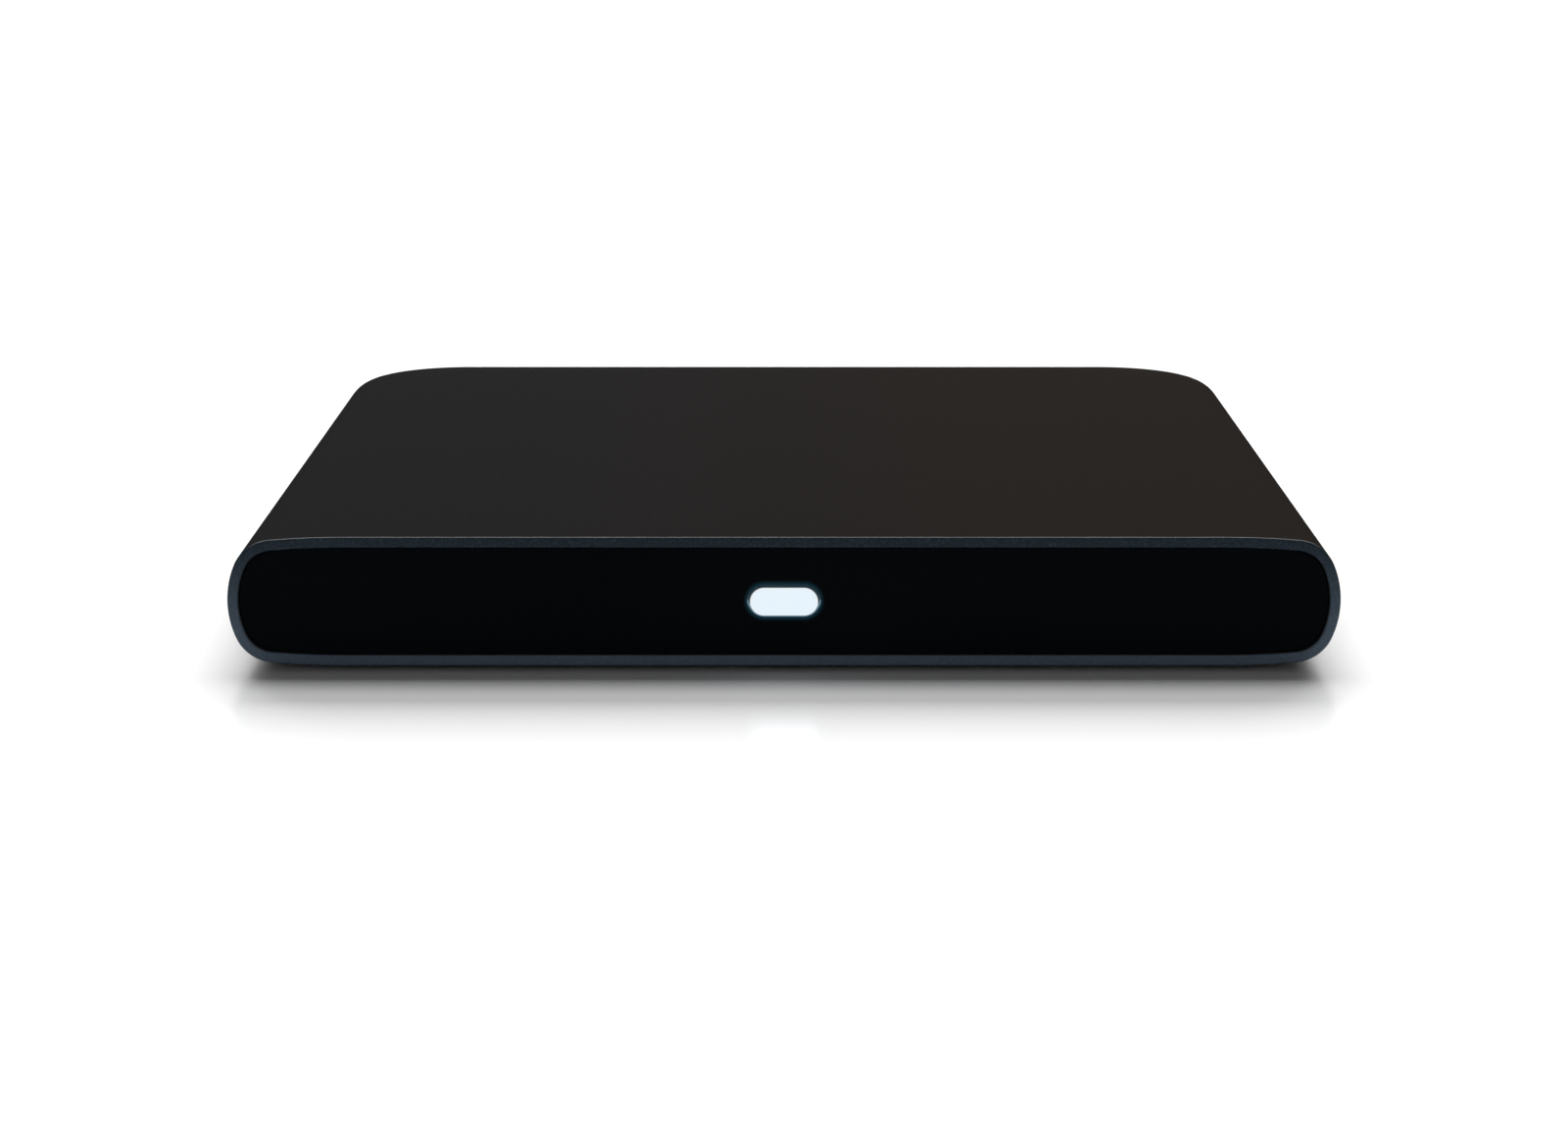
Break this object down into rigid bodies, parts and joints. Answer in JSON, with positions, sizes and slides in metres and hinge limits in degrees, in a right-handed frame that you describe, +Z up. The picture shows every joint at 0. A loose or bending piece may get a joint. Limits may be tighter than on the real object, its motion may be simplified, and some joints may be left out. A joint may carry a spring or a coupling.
{
  "type": "streaming media player",
  "caption": "Low, wide media player box with a rounded one-piece sleeve, a dark glossy front with a lit oval power button, and sockets in a bay at the rear.",
  "frame": {"origin": "on the surface that the feet stand on, under the middle of the housing", "axes": "+Z up, front facing -Y, +X to the right seen from the front"},
  "size_m": [0.165, 0.1688, 0.0205],
  "materials": {
    "soft_coating": "soft-touch matt coating",
    "window_gloss": "gloss",
    "black_plastic": "fine moulded texture",
    "lamp_white": "translucent white, lit from behind",
    "clear_plastic": "clear",
    "white_plastic": "satin",
    "board_green": "solder mask",
    "chip_black": "moulded epoxy",
    "sheet_steel": "zinc-plated",
    "screw_steel": "satin",
    "aluminium_fins": "extruded",
    "thermal_rubber": "soft",
    "contact_brass": "plated",
    "rubber_black": "matt",
    "label_grey": "satin film"
  },
  "bodies": {
    "player": {"antenna_holder_left": "black_plastic", "antenna_holder_right": "black_plastic", "antenna_lead_left": "black_plastic", "antenna_lead_right": "black_plastic", "antenna_left": "board_green", "antenna_right": "board_green", "audio_socket": "black_plastic", "board_screws": "screw_steel", "button_switch": "black_plastic", "case_screws": "screw_steel", "chassis_tray": "sheet_steel", "filter_capacitors": "aluminium_fins", "flash_chip": "chip_black", "foot_front_left": "rubber_black", "foot_front_right": "rubber_black", "foot_rear_left": "rubber_black", "foot_rear_right": "rubber_black", "frame_screws": "screw_steel", "front_board": "board_green", "front_board_screws": "screw_steel", "front_frame": "black_plastic", "front_panel": "window_gloss", "heat_sink": "aluminium_fins", "heat_sink_pins": "white_plastic", "heat_sink_springs": "screw_steel", "light_guide": "clear_plastic", "main_board": "board_green", "memory_chips": "chip_black", "network_contacts": "contact_brass", "network_socket": "black_plastic", "optical_emitter": "clear_plastic", "optical_socket": "black_plastic", "panel_screws": "screw_steel", "power_coils": "chip_black", "power_inlet": "black_plastic", "power_inlet_pin": "contact_brass", "processor": "chip_black", "rating_label": "label_grey", "rear_panel": "black_plastic", "remote_receiver": "chip_black", "reset_switch": "chip_black", "ribbon_cable": "white_plastic", "ribbon_sockets": "white_plastic", "serial_socket_shell": "sheet_steel", "serial_socket_tongue": "white_plastic", "sleeve": "soft_coating", "status_lamps": "lamp_white", "thermal_pad": "thermal_rubber", "video_socket_shell": "sheet_steel", "video_socket_tongue": "black_plastic", "wireless_module": "board_green", "wireless_shield": "sheet_steel"},
    "power_button": {"button_cap": "lamp_white", "switch_plunger": "white_plastic"},
    "reset_button": {"reset_plunger": "white_plastic"},
    "optical_flap": {"optical_shutter": "black_plastic"}
  },
  "joints": [
    {"name": "power_press", "type": "slide", "parent": "player", "child": "power_button", "axis": [0, 1, 0], "range_m": [0, 0.0003], "stiffness_N_per_m": 3000},
    {"name": "reset_press", "type": "slide", "parent": "player", "child": "reset_button", "axis": [0, -1, 0], "range_m": [0, 0.00025], "stiffness_N_per_m": 3000},
    {"name": "shutter_swing", "type": "hinge", "parent": "player", "child": "optical_flap", "pos_m": [-0.012, 0.0806, 0.01505], "axis": [-1, 0, 0], "range_deg": [0, 80], "stiffness_Nm_per_rad": 0.0006}
  ]
}
